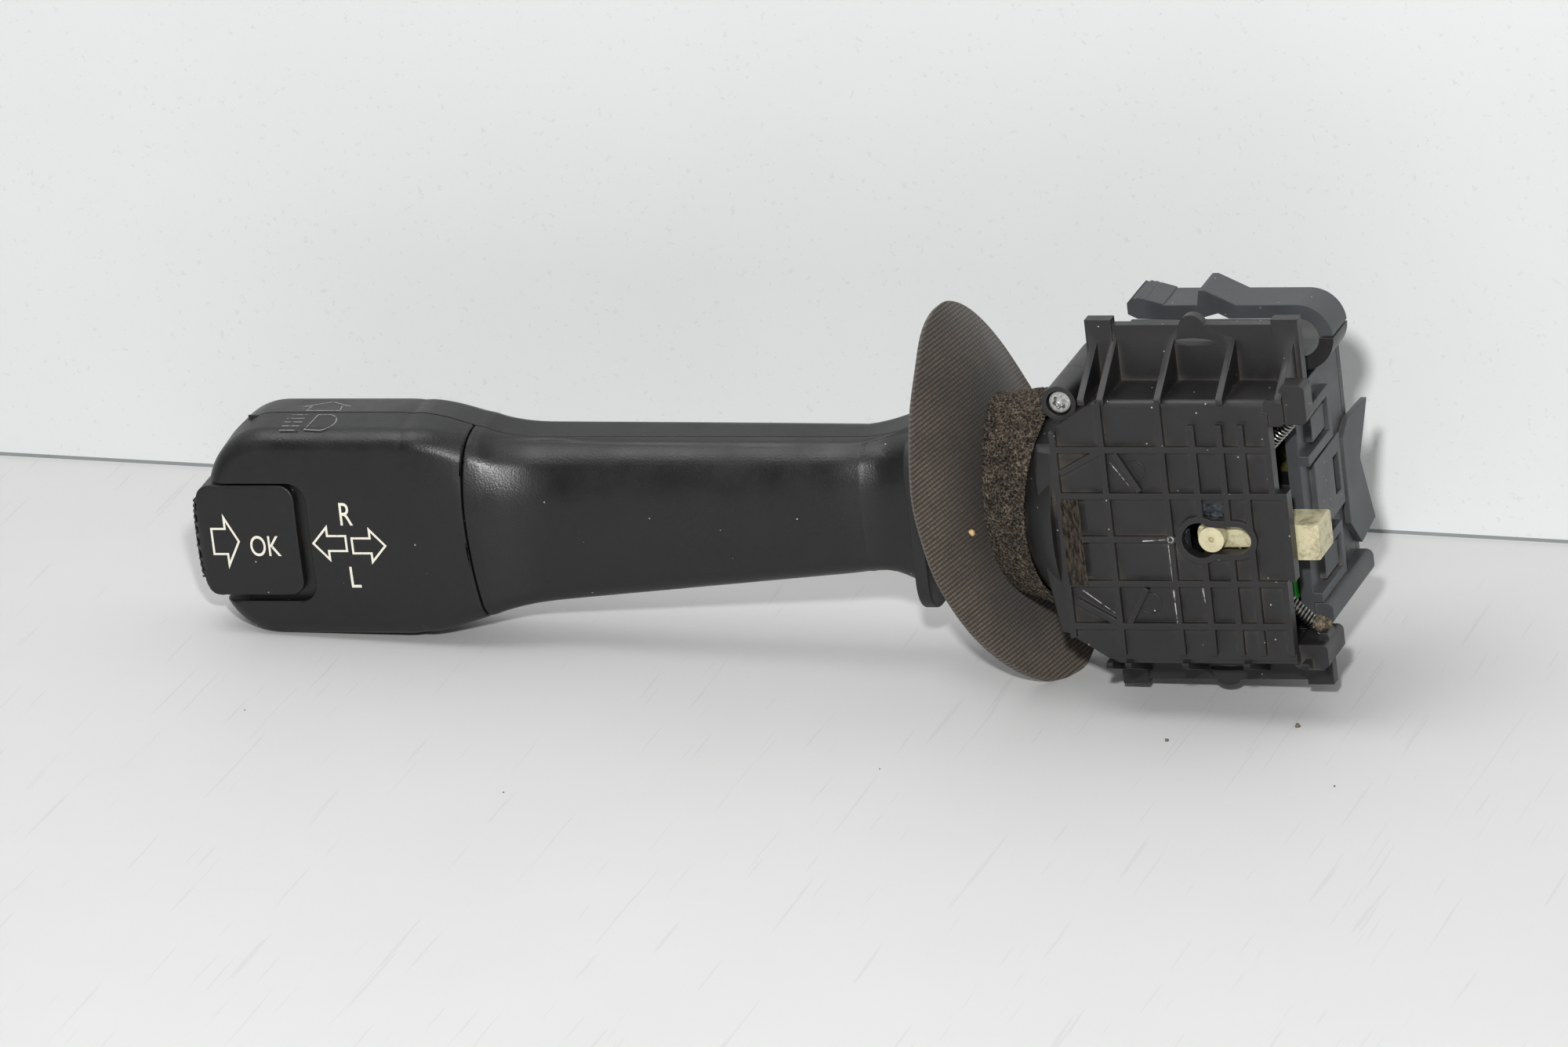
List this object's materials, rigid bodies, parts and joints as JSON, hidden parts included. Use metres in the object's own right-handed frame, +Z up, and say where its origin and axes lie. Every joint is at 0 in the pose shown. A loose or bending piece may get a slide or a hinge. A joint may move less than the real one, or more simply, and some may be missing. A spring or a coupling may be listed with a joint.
{
  "type": "combination stalk switch",
  "caption": "Steering column stalk switch: moulded lever with a push button in its tip, fabric-faced foam seal and a ribbed switch housing with latch arm and cancelling finger.",
  "frame": {"origin": "point of the housing's flat rear seating face that lies straight behind the pivot where the stalk's two swing axes cross", "axes": "+X along the stalk from its tip towards the housing, +Y from the driver towards the column, out of the rear seating face, +Z up"},
  "size_m": [0.1969, 0.0498, 0.0679],
  "materials": {
    "stalk_plastic": "fine spark-eroded grain",
    "housing_plastic": "moulded, slightly satin",
    "inner_plastic": "moulded",
    "cream_plastic": "natural nylon",
    "green_plastic": "moulded",
    "spring_steel": "drawn wire",
    "screw_steel": "zinc plated",
    "contact_brass": "stamped",
    "circuit_board": "laminate",
    "seal_fabric": "fine ribbed weave on foam",
    "seal_foam": "coarse open-cell foam"
  },
  "bodies": {
    "housing": {"housing_base": "housing_plastic", "cover_plate": "housing_plastic", "cover_screw": "screw_steel", "end_plate": "housing_plastic", "retaining_leaf": "housing_plastic", "turn_detent_cam": "inner_plastic", "contact_board": "circuit_board", "terminal_pins": "contact_brass", "finger_spring_upper": "spring_steel", "finger_spring_lower": "spring_steel"},
    "swivel": {"swivel_yoke": "inner_plastic", "beam_pivot_pin": "spring_steel", "turn_detent_spring": "spring_steel"},
    "detent_plunger": {"turn_detent_plunger": "spring_steel"},
    "stalk": {"lever_core": "inner_plastic", "rear_shell": "stalk_plastic", "head_front_cover": "stalk_plastic", "shaft_front_cover": "stalk_plastic", "collar_flange": "inner_plastic", "seal_disc": "seal_fabric", "seal_foam_ring": "seal_foam", "button_board": "circuit_board", "button_switch": "inner_plastic", "button_return_spring": "spring_steel"},
    "button": {"tip_button": "stalk_plastic"},
    "slider": {"contact_slider": "green_plastic", "wiper_contacts": "contact_brass"},
    "peg": {"finger_peg": "cream_plastic"},
    "finger": {"cancel_finger": "cream_plastic"},
    "latch": {"latch_arm": "housing_plastic"}
  },
  "joints": [
    {"name": "turn_signal_swing", "type": "hinge", "parent": "housing", "child": "swivel", "pos_m": [0, -0.022, 0], "axis": [0, 1, 0], "range_deg": [-8, 8]},
    {"name": "beam_swing", "type": "hinge", "parent": "swivel", "child": "stalk", "pos_m": [0, -0.022, 0], "axis": [0, 0, 1], "range_deg": [-5, 5], "stiffness_Nm_per_rad": 3},
    {"name": "detent_plunge", "type": "slide", "parent": "swivel", "child": "detent_plunger", "axis": [1, 0, 0], "range_m": [-0.0008, 0], "stiffness_N_per_m": 800, "springref_m": 0.001, "deforming": ["turn_detent_spring"]},
    {"name": "button_press", "type": "slide", "parent": "stalk", "child": "button", "axis": [1, 0, 0], "range_m": [0, 0.0018], "stiffness_N_per_m": 1200, "springref_m": -0.0005, "deforming": ["button_return_spring"]},
    {"name": "contact_slide", "type": "slide", "parent": "housing", "child": "slider", "axis": [0, 0, 1], "range_m": [-0.0026, 0.0026]},
    {"name": "finger_slide", "type": "slide", "parent": "housing", "child": "peg", "axis": [1, 0, 0], "range_m": [-0.0015, 0.004], "stiffness_N_per_m": 300, "deforming": ["finger_spring_upper", "finger_spring_lower"]},
    {"name": "finger_swing", "type": "hinge", "parent": "peg", "child": "finger", "pos_m": [0.0167, -0.036, -0.0008], "axis": [0, 1, 0], "range_deg": [-10, 10], "stiffness_Nm_per_rad": 0.06},
    {"name": "latch_flex", "type": "hinge", "parent": "housing", "child": "latch", "pos_m": [0.0329, -0.01475, 0.0262], "axis": [0, -1, 0], "range_deg": [0, 9], "stiffness_Nm_per_rad": 1.2}
  ],
  "couplings": [
    {"joint": "contact_slide", "follows": "turn_signal_swing", "m_per_rad": -0.0182}
  ]
}
